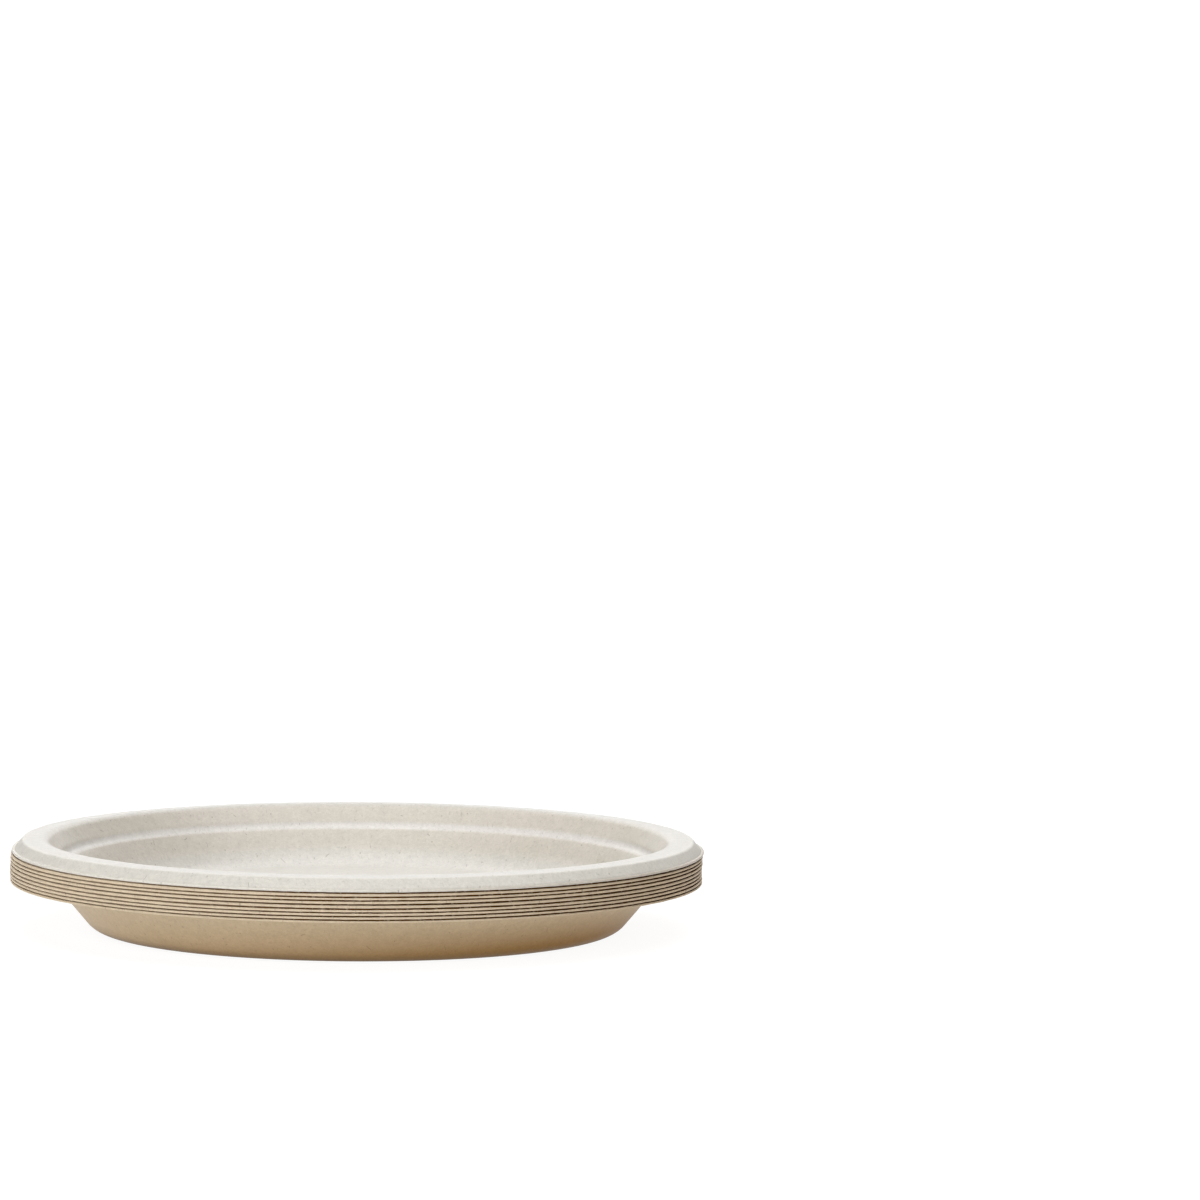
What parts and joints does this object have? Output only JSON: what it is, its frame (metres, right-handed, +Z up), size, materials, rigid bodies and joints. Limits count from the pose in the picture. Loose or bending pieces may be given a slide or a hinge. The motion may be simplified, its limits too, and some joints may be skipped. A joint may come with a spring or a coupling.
{
  "type": "stack of paper plates",
  "caption": "Stack of nested round disposable dinner plates pressed from plant fibre, each with a flat floor, a sloping wall and a rim rolled down to a small flange.",
  "frame": {"origin": "centre of the stack's footprint, on the surface that the lowest plate rests on", "axes": "+Z up through the stack, +X to the right and -Y towards the viewer of the picture"},
  "size_m": [0.2296, 0.2292, 0.0304],
  "materials": {
    "moulded_fibre": "matte"
  },
  "bodies": {
    "root": {"plate_1": "moulded_fibre", "plate_2": "moulded_fibre", "plate_3": "moulded_fibre", "plate_4": "moulded_fibre", "plate_5": "moulded_fibre", "plate_6": "moulded_fibre", "plate_7": "moulded_fibre", "plate_8": "moulded_fibre", "plate_9": "moulded_fibre"}
  },
  "joints": []
}
